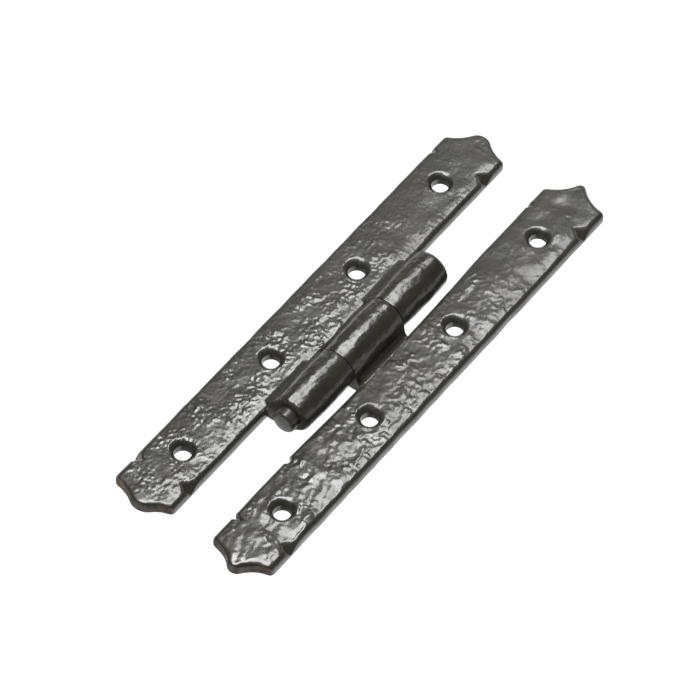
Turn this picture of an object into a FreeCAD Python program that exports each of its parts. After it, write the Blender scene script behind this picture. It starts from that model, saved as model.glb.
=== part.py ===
import FreeCAD, Part
import collections
import math
import os

# H hinge in cast iron: two narrow leaves, a barrel of three knuckles between them and one fixed pin.
# The hinge lies on its back: Z is up from the back faces, Y runs along the pin, X goes across the leaves.
# X is counted from the pin and Y from the middle of the screw holes. All sizes are in millimetres.

# Leaves: the half length runs from the middle of the screw holes to the line of the shoulders
leaf_half_length = 85.0
leaf_width = 21.8
leaf_thickness = 4.0
edge_round = 1.5
corner_round = 1.6
outer_leaf_gap = 1.3
centre_leaf_gap = 0.1
relief_depth = 1.2
relief_length = 92.0

# Scalloped ends, each as its own pattern was carved: a rounded tip between two hollow scoops.
# Shoulders and tips are counted outwards from the line of the shoulders, and offsets towards the outer edge.
scoop_depth = 1.6
outer_leaf_far_inner_shoulder = 0.0
outer_leaf_far_outer_shoulder = -2.6
outer_leaf_far_tip_reach = 4.5
outer_leaf_far_tip_radius = 4.5
outer_leaf_far_tip_offset = 0.2
outer_leaf_near_inner_shoulder = -0.7
outer_leaf_near_outer_shoulder = 0.3
outer_leaf_near_tip_reach = 3.8
outer_leaf_near_tip_radius = 6.2
outer_leaf_near_tip_offset = -0.6
centre_leaf_far_inner_shoulder = -1.3
centre_leaf_far_outer_shoulder = 1.5
centre_leaf_far_tip_reach = 6.6
centre_leaf_far_tip_radius = 1.9
centre_leaf_far_tip_offset = -1.1
centre_leaf_near_inner_shoulder = 0.9
centre_leaf_near_outer_shoulder = -0.5
centre_leaf_near_tip_reach = 5.4
centre_leaf_near_tip_radius = 3.3
centre_leaf_near_tip_offset = 0.0

# Nicks filed across the long edges, set back from the line of the shoulders.
# A foot is how far above the back a nick runs out.
nick_setback = 10.0
nick_half_angle = 57.0
deep_nick_depth = 3.9
deep_nick_foot = 0.8
shallow_nick_depth = 2.2
shallow_nick_foot = 1.9
through_nick_depth = 3.0
through_nick_foot = 0.0

# Screw holes
hole_count = 4
hole_pitch = 43.5
hole_diameter = 5.6
countersink_diameter = 8.4
countersink_depth = 1.2

# Barrel and pin
barrel_radius = 7.0
barrel_length = 72.4
barrel_middle = -1.5
barrel_end_round = 1.6
centre_knuckle_length = 24.4
knuckle_gap = 0.5
web_fillet = 3.0
web_landing = 1.2
pin_diameter = 7.8
pin_running_clearance = 0.06
pin_fixed_clearance = 0.01
pin_proud = 4.0
pin_recess = 0.4
pin_crown = 1.6

# Casting flaw: a bite out of the inner edge of one leaf
bite_depth = 1.1
bite_radius = 1.8
bite_place = 49.0

# Places that follow from the sizes above
pin_height = barrel_radius
nick_place = leaf_half_length - nick_setback
barrel_near = barrel_middle - barrel_length / 2
barrel_far = barrel_middle + barrel_length / 2
through = 1.0
same_place = 1e-6

LeafEnd = collections.namedtuple("LeafEnd", "inner_shoulder outer_shoulder tip_reach tip_radius tip_offset")
Nick = collections.namedtuple("Nick", "depth foot")
deep_nick = Nick(deep_nick_depth, deep_nick_foot)
shallow_nick = Nick(shallow_nick_depth, shallow_nick_foot)
through_nick = Nick(through_nick_depth, through_nick_foot)
outer_leaf_far = LeafEnd(outer_leaf_far_inner_shoulder, outer_leaf_far_outer_shoulder, outer_leaf_far_tip_reach,
                         outer_leaf_far_tip_radius, outer_leaf_far_tip_offset)
outer_leaf_near = LeafEnd(outer_leaf_near_inner_shoulder, outer_leaf_near_outer_shoulder, outer_leaf_near_tip_reach,
                          outer_leaf_near_tip_radius, outer_leaf_near_tip_offset)
centre_leaf_far = LeafEnd(centre_leaf_far_inner_shoulder, centre_leaf_far_outer_shoulder, centre_leaf_far_tip_reach,
                          centre_leaf_far_tip_radius, centre_leaf_far_tip_offset)
centre_leaf_near = LeafEnd(centre_leaf_near_inner_shoulder, centre_leaf_near_outer_shoulder,
                           centre_leaf_near_tip_reach, centre_leaf_near_tip_radius, centre_leaf_near_tip_offset)


def vec(x, y, z):
    """A point or direction."""
    return FreeCAD.Vector(x, y, z)


def line(start, end):
    """A straight edge."""
    return Part.LineSegment(start, end).toShape()


def arc(start, middle, end):
    """A circular edge through three points."""
    return Part.Arc(start, middle, end).toShape()


def scoop_points(span, shoulder, tip_reach, tip_radius):
    """One side of a scalloped end, as (across, along) points counted from the tip's own line.

    The tip is a circle on that line. The scoop is a circle that passes through the shoulder's corner, span away,
    and touches the tip from outside. Its radius is that of an arc that dips by the scoop's depth under the straight
    line from corner to tip. Returns the point where the two circles meet and the scoop's middle point.
    """
    chord = math.hypot(span, tip_reach - shoulder)
    scoop_radius = chord ** 2 / (8 * scoop_depth) + scoop_depth / 2
    tip_centre = tip_reach - tip_radius - shoulder
    reach = math.hypot(span, tip_centre)
    to_scoop = scoop_radius + tip_radius
    along = (to_scoop ** 2 - scoop_radius ** 2 + reach ** 2) / (2 * reach)
    aside = math.sqrt(to_scoop ** 2 - along ** 2)
    unit_x = span / reach
    unit_y = -tip_centre / reach
    scoop_x = along * unit_x - aside * unit_y
    scoop_y = tip_centre + along * unit_y + aside * unit_x
    share = tip_radius / to_scoop
    meet = (scoop_x * share, tip_centre + (scoop_y - tip_centre) * share)
    start_angle = math.atan2(-scoop_y, span - scoop_x)
    end_angle = math.atan2(meet[1] - scoop_y, meet[0] - scoop_x)
    if end_angle > start_angle:
        end_angle -= 2 * math.pi
    middle_angle = (start_angle + end_angle) / 2
    middle = (scoop_x + scoop_radius * math.cos(middle_angle), scoop_y + scoop_radius * math.sin(middle_angle))
    return (meet[0], shoulder + meet[1]), (middle[0], shoulder + middle[1])


def end_edges(end, direction, row):
    """The outline of one end of a leaf whose middle line is at row: scoop, tip and scoop, and the two corners."""

    def place(across, along):
        return vec(row + across, direction * (leaf_half_length + along), 0)

    offset = end.tip_offset
    sides = ((1, leaf_width / 2 - offset, end.outer_shoulder), (-1, leaf_width / 2 + offset, end.inner_shoulder))
    corners = []
    meets = []
    edges = []
    for side, span, shoulder in sides:
        meet, middle = scoop_points(span, shoulder, end.tip_reach, end.tip_radius)
        corners.append(place(side * leaf_width / 2, shoulder))
        meets.append(place(offset + side * meet[0], meet[1]))
        edges.append(arc(corners[-1], place(offset + side * middle[0], middle[1]), meets[-1]))
    edges.append(arc(meets[0], place(offset, end.tip_reach), meets[1]))
    return edges, corners


def leaf_plate(gap, near, far, relief):
    """The flat bar of a leaf on the +X side, with scalloped ends and a rounded front.

    A leaf with a relief has its inner edge hollowed by an arc beside the barrel.
    """
    inner_edge = barrel_radius + gap
    row = inner_edge + leaf_width / 2
    near_edges, near_corners = end_edges(near, -1, row)
    far_edges, far_corners = end_edges(far, 1, row)
    edges = near_edges + far_edges + [line(near_corners[0], far_corners[0])]
    if relief > 0:
        relief_near = vec(inner_edge, -relief_length / 2, 0)
        relief_far = vec(inner_edge, relief_length / 2, 0)
        edges.append(line(near_corners[1], relief_near))
        edges.append(arc(relief_near, vec(inner_edge + relief, 0, 0), relief_far))
        edges.append(line(relief_far, far_corners[1]))
    else:
        edges.append(line(near_corners[1], far_corners[1]))
    outline = Part.Wire(Part.__sortEdges__(edges))
    plate = Part.Face(outline).extrude(vec(0, 0, leaf_thickness))
    corners = near_corners + far_corners
    plate = plate.makeFillet(corner_round, [e for e in plate.Edges if stands_at(e, corners)])
    front = [e for e in plate.Edges if all(abs(v.Z - leaf_thickness) < same_place for v in e.Vertexes)]
    return plate.makeFillet(edge_round, front)


def stands_at(edge, places):
    """True for an upright edge that stands on one of the places."""
    start, end = edge.Vertexes[0].Point, edge.Vertexes[-1].Point
    upright = math.hypot(start.x - end.x, start.y - end.y) < same_place
    return upright and any(math.hypot(start.x - p.x, start.y - p.y) < same_place for p in places)


def knuckle(start, length):
    """A knuckle on the pin's axis with the web that joins it to a leaf on the +X side.

    The section is the knuckle's circle, flush with the leaf's back, run into the leaf's front by a hollow fillet.
    """
    rise = leaf_thickness + web_fillet - pin_height
    foot = math.sqrt((barrel_radius + web_fillet) ** 2 - rise ** 2)
    share = barrel_radius / (barrel_radius + web_fillet)
    touch = vec(foot * share, start, pin_height + rise * share)
    hollow_angle = (math.atan2(-rise, -foot) % (2 * math.pi) + 1.5 * math.pi) / 2
    hollow = vec(foot + web_fillet * math.cos(hollow_angle), start,
                 leaf_thickness + web_fillet + web_fillet * math.sin(hollow_angle))
    landing = foot + web_landing
    base = vec(0, start, 0)
    edges = [
        line(base, vec(landing, start, 0)),
        line(vec(landing, start, 0), vec(landing, start, leaf_thickness)),
        line(vec(landing, start, leaf_thickness), vec(foot, start, leaf_thickness)),
        arc(vec(foot, start, leaf_thickness), hollow, touch),
        arc(touch, vec(-barrel_radius, start, pin_height), base),
    ]
    body = Part.Face(Part.Wire(edges)).extrude(vec(0, length, 0))
    outer_arcs = [e for e in body.Edges if ends_the_barrel(e)]
    return body.makeFillet(barrel_end_round, outer_arcs) if outer_arcs else body


def ends_the_barrel(edge):
    """True for a round edge in one of the barrel's two outer end faces; the ends at the gaps stay sharp."""
    if not isinstance(edge.Curve, Part.Circle):
        return False
    return any(all(abs(v.Y - place) < same_place for v in edge.Vertexes) for place in (barrel_near, barrel_far))


def bore(clearance):
    """The hole for the pin, right through the barrel."""
    length = barrel_length + 2 * through
    radius = pin_diameter / 2 + clearance
    return Part.makeCylinder(radius, length, vec(0, barrel_near - through, pin_height), vec(0, 1, 0))


def screw_hole(across, along):
    """A countersunk screw hole through a leaf."""
    spread = (countersink_diameter - hole_diameter) / 2 / countersink_depth
    shank = Part.makeCylinder(hole_diameter / 2, leaf_thickness + 2 * through, vec(across, along, -through))
    seat = Part.makeCone(hole_diameter / 2, countersink_diameter / 2 + spread * through,
                         countersink_depth + through, vec(across, along, leaf_thickness - countersink_depth))
    return shank.fuse(seat)


def nick_cut(nick, edge, side, along_leaf):
    """A V cut across a long edge that faces side: from the front face, where it comes to a point, to its foot."""
    drop = leaf_thickness - nick.foot
    slope = math.hypot(nick.depth, drop)
    along = vec(side * nick.depth / slope, 0, -drop / slope)
    outward = vec(side * drop / slope, 0, nick.depth / slope)
    top = vec(edge - side * nick.depth, along_leaf, leaf_thickness)
    start = top - along * slope
    height = 2 * slope
    spread = height * math.tan(math.radians(nick_half_angle))
    mouth = start + outward * height
    corners = [start, mouth + vec(0, spread, 0), mouth - vec(0, spread, 0), start]
    return Part.Face(Part.makePolygon(corners)).extrude(along * (3 * slope))


def leaf(gap, near, far, relief, knuckles, pin_clearance, inner_nicks, outer_nicks):
    """A whole leaf on the +X side: plate and knuckles in one casting, with its holes and nicks.

    The nicks are given as a near and a far one for each long edge.
    """
    inner_edge = barrel_radius + gap
    row = inner_edge + leaf_width / 2
    first_hole = -(hole_count - 1) / 2 * hole_pitch
    cuts = [bore(pin_clearance)]
    cuts += [screw_hole(row, first_hole + step * hole_pitch) for step in range(hole_count)]
    for edge, side, nicks in ((inner_edge, -1, inner_nicks), (inner_edge + leaf_width, 1, outer_nicks)):
        cuts += [nick_cut(nick, edge, side, end * nick_place) for nick, end in zip(nicks, (-1, 1))]
    body = leaf_plate(gap, near, far, relief)
    body = body.fuse([knuckle(start, length) for start, length in knuckles])
    return body.removeSplitter().cut(cuts)


def edge_bite():
    """The bite that a casting flaw left in the inner edge of the centre-knuckle leaf."""
    inner_edge = barrel_radius + centre_leaf_gap
    centre = vec(inner_edge + bite_depth - bite_radius, -bite_place, -through)
    return Part.makeCylinder(bite_radius, leaf_thickness + 2 * through, centre)


def hinge_pin():
    """The pin: a round bar with a crowned near end, proud of the barrel, and a far end just inside it."""
    radius = pin_diameter / 2
    near_end = barrel_near - pin_proud
    far_end = barrel_far - pin_recess
    crown_radius = (radius ** 2 + pin_crown ** 2) / (2 * pin_crown)
    half_way = near_end + crown_radius - math.sqrt(crown_radius ** 2 - (radius / 2) ** 2)
    rim = vec(radius, near_end + pin_crown, pin_height)
    edges = [
        arc(vec(0, near_end, pin_height), vec(radius / 2, half_way, pin_height), rim),
        line(rim, vec(radius, far_end, pin_height)),
        line(vec(radius, far_end, pin_height), vec(0, far_end, pin_height)),
        line(vec(0, far_end, pin_height), vec(0, near_end, pin_height)),
    ]
    return Part.Face(Part.Wire(edges)).revolve(vec(0, 0, pin_height), vec(0, 1, 0), 360)


def build():
    """Builds the three pieces and writes one file for each."""
    centre_start = barrel_middle - centre_knuckle_length / 2
    outer_length = (barrel_length - centre_knuckle_length) / 2 - knuckle_gap
    outer_knuckles = [(barrel_near, outer_length), (barrel_far - outer_length, outer_length)]
    outer_leaf = leaf(outer_leaf_gap, outer_leaf_near, outer_leaf_far, 0, outer_knuckles, pin_fixed_clearance,
                      (deep_nick, deep_nick), (shallow_nick, shallow_nick))
    centre_leaf = leaf(centre_leaf_gap, centre_leaf_near, centre_leaf_far, relief_depth,
                       [(centre_start, centre_knuckle_length)], pin_running_clearance,
                       (through_nick, shallow_nick), (deep_nick, deep_nick))
    pieces = {
        "outer_knuckle_leaf": outer_leaf.mirror(vec(0, 0, 0), vec(1, 0, 0)),
        "centre_knuckle_leaf": centre_leaf.cut(edge_bite()),
        "hinge_pin": hinge_pin(),
    }
    os.makedirs("parts", exist_ok=True)
    for name, shape in pieces.items():
        solid = shape.Solids[0]
        solid.exportStep("parts/" + name + ".step")
        box = solid.BoundBox
        print(name, len(shape.Solids), "solid", solid.isValid(), round(solid.Volume, 1), "mm3",
              [round(v, 2) for v in (box.XMin, box.XMax, box.YMin, box.YMax, box.ZMin, box.ZMax)])


build()
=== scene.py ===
"""Looks of a cast-iron H hinge under glossy black lacquer.

The hinge lies open on its back: two long leaves with scalloped ends and hammered fronts, a barrel of three
knuckles between them and a fixed pin. X goes across the leaves from the pin, Y along the pin away from its
proud end and Z up from the backs. Sizes are in millimetres and become metres when a mesh is made.
"""

import logging
import math
from dataclasses import dataclass
from enum import Enum

import bpy
import numpy as np
from mathutils import Matrix, Vector

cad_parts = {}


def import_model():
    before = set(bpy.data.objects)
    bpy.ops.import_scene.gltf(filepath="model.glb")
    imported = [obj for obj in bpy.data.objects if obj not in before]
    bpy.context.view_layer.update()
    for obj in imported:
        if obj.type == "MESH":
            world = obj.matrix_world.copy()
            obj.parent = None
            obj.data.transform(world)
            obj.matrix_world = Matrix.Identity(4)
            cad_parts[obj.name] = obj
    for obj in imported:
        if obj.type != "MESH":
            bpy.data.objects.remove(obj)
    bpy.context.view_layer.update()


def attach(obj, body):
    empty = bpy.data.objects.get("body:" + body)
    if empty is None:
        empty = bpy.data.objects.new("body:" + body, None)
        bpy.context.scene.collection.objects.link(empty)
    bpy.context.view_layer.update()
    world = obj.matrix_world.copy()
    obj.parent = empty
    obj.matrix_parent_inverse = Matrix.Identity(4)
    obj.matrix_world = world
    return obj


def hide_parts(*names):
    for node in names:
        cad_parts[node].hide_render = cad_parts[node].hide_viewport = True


MM = 0.001
TINY = 1e-12
ROUND_STEPS = 8
WHITE = (1.0, 1.0, 1.0, 1.0)
LOG = logging.getLogger("hinge")

# Odd numbers that scatter a lattice corner's address over a 32-bit word, and the bits of it that are kept.
COLUMN_MIX = 374761393
ROW_MIX = 668265263
SEED_MIX = 31 * 1442695
LAST_MIX = 1274126177
WORD = 0xFFFFFFFF
KEPT = 0xFFFFFF

# The marks that each point of a piece carries for its finish; the rub mark also carries painted light.
MARKS = ("rub_and_painted_light", "skin", "satin", "matt")


class Side(Enum):
    """The side of the pin that a leaf lies on, as the sign of its X."""

    LEFT = -1
    RIGHT = 1


class End(Enum):
    """An end of a leaf, as the sign of its Y."""

    NEAR = -1
    FAR = 1


def ease(low: float, high: float, value: np.ndarray) -> np.ndarray:
    """Rises smoothly from 0 at low to 1 at high: 3t squared less 2t cubed of the share t of the way."""
    share = np.clip((value - low) / (high - low), 0.0, 1.0)
    return share * share * (3.0 - 2.0 * share)


def soft_min(first: np.ndarray, second: np.ndarray, blend: float | np.ndarray) -> np.ndarray:
    """The lower of two heights, less a parabola where they are closer than blend, which rounds the crease."""
    share = np.clip(0.5 + 0.5 * (second - first) / blend, 0.0, 1.0)
    return second * (1.0 - share) + first * share - blend * share * (1.0 - share)


def quarter_steps(radius: float) -> np.ndarray:
    """Distances from an edge that share its quarter-round into equal turns."""
    return radius * (1.0 - np.cos(np.linspace(0.0, np.pi / 2, ROUND_STEPS)))


def rounded_off(from_edge: np.ndarray, radius: float) -> np.ndarray:
    """How far a quarter-round edge falls below its face: the radius less the circle's height."""
    into = np.maximum(radius - from_edge, 0.0)
    return radius - np.sqrt(np.maximum(radius ** 2 - into ** 2, 0.0))


@dataclass(frozen=True)
class CastNoise:
    """Seeded unevenness of a cast surface, worked out for whole arrays of points in millimetres.

    Attributes:
        seed: The number that sets one surface apart from another.
        gain: Brings the blended slopes to about -1 to 1.
    """

    seed: int
    gain: float = 1.5

    def corner(self, column: np.ndarray, row: np.ndarray) -> np.ndarray:
        """A fixed number from 0 to 1 for each lattice corner: its whole-number address, mixed and scaled.

        Args:
            column: The corner's address across.
            row: The corner's address along.

        Returns:
            The numbers.
        """
        mixed = column * COLUMN_MIX + row * ROW_MIX + self.seed * SEED_MIX
        mixed = (mixed & WORD).astype(np.int64)
        mixed = ((mixed ^ (mixed >> 13)) * LAST_MIX) & WORD
        return ((mixed ^ (mixed >> 16)) & KEPT) / float(KEPT)

    def swell(self, x: np.ndarray, y: np.ndarray, size: float) -> np.ndarray:
        """Smooth hills and hollows from about -1 to 1: random slopes at lattice corners, blended.

        The blend is the fifth-power ease, 6t to the fifth less 15t to the fourth plus 10t cubed.

        Args:
            x: Places across.
            y: Places along.
            size: The lattice's step.

        Returns:
            The heights.
        """
        across, along = np.asarray(x) / size, np.asarray(y) / size
        column, row = np.floor(across).astype(np.int64), np.floor(along).astype(np.int64)
        part_x, part_y = across - column, along - row
        blend_x, blend_y = (part ** 3 * (part * (part * 6.0 - 15.0) + 10.0) for part in (part_x, part_y))
        total = np.zeros_like(across)
        for step_x in (0, 1):
            for step_y in (0, 1):
                turn = 2.0 * np.pi * self.corner(column + step_x, row + step_y)
                slope = np.cos(turn) * (part_x - step_x) + np.sin(turn) * (part_y - step_y)
                weight = (blend_x if step_x else 1.0 - blend_x) * (blend_y if step_y else 1.0 - blend_y)
                total += weight * slope
        return total * self.gain

    def draw_in(self, x: np.ndarray, y: np.ndarray, height: float, size: float) -> np.ndarray:
        """How far slow waves draw a surface in: their height times 1 less the swell."""
        return height * (1.0 - self.swell(x, y, size))


@dataclass(frozen=True)
class ScallopedEnd:
    """One carved end of a leaf: a rounded tip between two hollow scoops.

    Shoulders and tip are counted outwards from the leaf's half length, and the tip's offset towards the outer
    edge.
    """

    inner_shoulder: float
    outer_shoulder: float
    tip_reach: float
    tip_radius: float
    tip_offset: float
    half_length: float = 85.0
    scoop_depth: float = 1.6
    corner_round: float = 1.6

    def side_reach(self, away: np.ndarray, span: float, shoulder: float) -> np.ndarray:
        """How far one side of the end reaches: the tip's circle, then the scoop's, then the rounded corner.

        The scoop's circle passes through the shoulder's corner and touches the tip's circle from outside. Its
        radius is that of an arc that dips by the scoop's depth under the straight line from corner to tip.

        Args:
            away: Places counted from the tip's own line.
            span: The corner's distance from that line.
            shoulder: How far the corner reaches.

        Returns:
            The reach at each place.
        """
        chord = math.hypot(span, self.tip_reach - shoulder)
        scoop_radius = chord ** 2 / (8.0 * self.scoop_depth) + self.scoop_depth / 2.0
        centre = self.tip_reach - self.tip_radius - shoulder
        direct = math.hypot(span, centre)
        to_scoop = scoop_radius + self.tip_radius
        along = (to_scoop ** 2 - scoop_radius ** 2 + direct ** 2) / (2.0 * direct)
        aside = math.sqrt(to_scoop ** 2 - along ** 2)
        scoop_x = along * span / direct + aside * centre / direct
        scoop_y = centre - along * centre / direct + aside * span / direct
        meet = scoop_x * self.tip_radius / to_scoop
        tip = centre + np.sqrt(np.maximum(self.tip_radius ** 2 - away ** 2, 0.0))
        scoop = scoop_y - np.sqrt(np.maximum(scoop_radius ** 2 - (away - scoop_x) ** 2, 0.0))
        fall = (span - scoop_x) / math.sqrt(scoop_radius ** 2 - (span - scoop_x) ** 2)
        lean = math.hypot(1.0, fall)
        corner_x = span - self.corner_round
        corner_y = -fall * self.corner_round - self.corner_round * lean
        corner = corner_y + np.sqrt(np.maximum(self.corner_round ** 2 - (away - corner_x) ** 2, 0.0))
        in_corner = away > corner_x - self.corner_round * fall / lean
        rounded = np.where(in_corner, np.minimum(scoop, corner), scoop)
        return shoulder + np.where(away <= meet, tip, rounded)

    def reach(self, across: np.ndarray, width: float) -> np.ndarray:
        """How far the end reaches at each place across the leaf.

        Args:
            across: Places counted from the leaf's middle line towards its outer edge.
            width: The leaf's width.

        Returns:
            The reach at each place.
        """
        away = across - self.tip_offset
        outer = self.side_reach(away, width / 2 - self.tip_offset, self.outer_shoulder)
        inner = self.side_reach(-away, width / 2 + self.tip_offset, self.inner_shoulder)
        return self.half_length + np.where(away >= 0.0, outer, inner)


@dataclass(frozen=True)
class Nick:
    """A V filed across a long edge: a point in the front face, running out at a foot above the back.

    Attributes:
        depth: How far the V's point lies from the edge.
        foot: The valley's height at the edge.
        lip: Width over which the V's upper edges are rounded.
        notch: How far a narrower V goes straight through the leaf, before the valley starts.
        half_angle: Half the angle between the V's walls.
    """

    depth: float
    foot: float
    lip: float
    notch: float = 0.0
    half_angle: float = 57.0

    def wall(self, from_edge: np.ndarray, along: np.ndarray, thickness: float) -> np.ndarray:
        """The height of the V's walls: a valley from the foot up to the front, and an even rise to each side.

        Args:
            from_edge: Distances inwards from the edge.
            along: Distances along the edge from the nick's middle.
            thickness: The leaf's thickness.

        Returns:
            The heights.
        """
        drop = thickness - self.foot
        rise = math.hypot(self.depth, drop) / self.depth / math.tan(math.radians(self.half_angle))
        return self.foot + drop * from_edge / self.depth + rise * np.abs(along)


@dataclass(frozen=True)
class HammeredFace:
    """The uneven front of a leaf: broad swells, rounded lumps of three sizes and long flowed streaks.

    Attributes:
        noise: The unevenness that the face is cut from.
        swell_height: Height of the broad swells.
        lump_height: Height of the lumps.
        flow_height: Height of the long streaks at the near end.
        smooth_far: Share of the lumps that is worn away at the far end.
        grain: Width of the pimples.
        pebbled: How strongly the finest pebbles show.
    """

    noise: CastNoise
    swell_height: float
    lump_height: float
    flow_height: float
    smooth_far: float
    grain: float
    pebbled: float
    # Share of the lumps that is worn away on the near tip, and where each fade starts and is full.
    smooth_tip: float = 0.5
    far_fade: tuple[float, float] = (15.0, 60.0)
    tip_fade: tuple[float, float] = (-79.0, -87.0)
    flow_fade: tuple[float, float] = (10.0, -35.0)
    # Size of the patches in which the lumps show more or less, and how much the smoothest ones show.
    patch_size: float = 8.0
    faintest: float = 0.3
    # Sizes of the broad swells, the plain lumps' size and share, and the pimples' shares of height and grain.
    broad_sizes: tuple[float, float] = (11.0, 5.2)
    lump_size: float = 3.4
    lump_share: float = 0.75
    pimples: tuple[tuple[float, float], ...] = ((0.75, 1.0), (0.5, 0.64))
    pimple_foot: float = 0.04
    # How far slow waves push the lumps aside, and the streaks' width, slant and width for their length.
    drift: float = 0.9
    drift_size: float = 4.5
    flow_size: float = 2.5
    flow_slant: float = 0.3
    flow_squeeze: float = 0.4

    def strength(self, x: np.ndarray, y: np.ndarray) -> np.ndarray:
        """How strongly the lumps show: in slow patches, less towards the far end and less on the near tip.

        Args:
            x: Places across.
            y: Places along.

        Returns:
            A share from 0 to 1.
        """
        hilly = ease(-0.45, 0.45, self.noise.swell(x + 13.0, y + 5.0, self.patch_size))
        patch = self.faintest + (1.0 - self.faintest) * hilly
        far = 1.0 - self.smooth_far * ease(*self.far_fade, y)
        tip = 1.0 - self.smooth_tip * ease(*self.tip_fade, y)
        return patch * far * tip

    def height(self, x: np.ndarray, y: np.ndarray) -> np.ndarray:
        """How far the face stands above its true plane, as the sum of its layers, each bent by a slow drift.

        The lumps are plain swells, and above them pimples of two sizes: only the tops of finer swells,
        rounded off. A plain number added to a place only sets one layer's noise apart from another's.

        Args:
            x: Places across.
            y: Places along.

        Returns:
            The heights.
        """
        noise = self.noise
        drift_x = x + self.drift * noise.swell(x + 40.0, y, self.drift_size)
        drift_y = y + self.drift * noise.swell(x, y + 70.0, self.drift_size)
        large, small = self.broad_sizes
        broad = self.swell_height * (noise.swell(x, y, large) + 0.5 * noise.swell(x + 9.0, y, small))
        lumps = self.lump_share * noise.swell(drift_x + 21.0, drift_y, self.lump_size)
        for share, width in self.pimples:
            size = width * self.grain
            finer = noise.swell(drift_x, drift_y + 37.0 * size, size)
            lumps = lumps + share * (finer + np.sqrt(finer ** 2 + self.pimple_foot))
        flow = noise.swell(drift_x + self.flow_slant * y, drift_y * self.flow_squeeze, self.flow_size)
        streaks = self.flow_height * flow * ease(*self.flow_fade, y)
        return broad + self.strength(x, y) * self.lump_height * lumps + streaks


def put_mesh(name: str, points: np.ndarray, faces: list[np.ndarray]) -> bpy.types.Object:
    """Makes an object from points in millimetres and its faces.

    Args:
        name: The object's name.
        points: One row of X, Y and Z for each point.
        faces: Arrays of point numbers, each with one row for each face.

    Returns:
        The new object, linked to the scene.
    """
    mesh = bpy.data.meshes.new(name)
    rows = [row for block in faces for row in block.tolist()]
    mesh.from_pydata((points * MM).tolist(), [], rows)
    mesh.validate()
    mesh.update()
    made = bpy.data.objects.new(name, mesh)
    bpy.context.scene.collection.objects.link(made)
    return made


def band(first: np.ndarray, second: np.ndarray) -> np.ndarray:
    """Four-sided faces between two closed loops of point numbers, one for each step of both."""
    return np.stack([first, np.roll(first, -1), np.roll(second, -1), second], axis=1)


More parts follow.
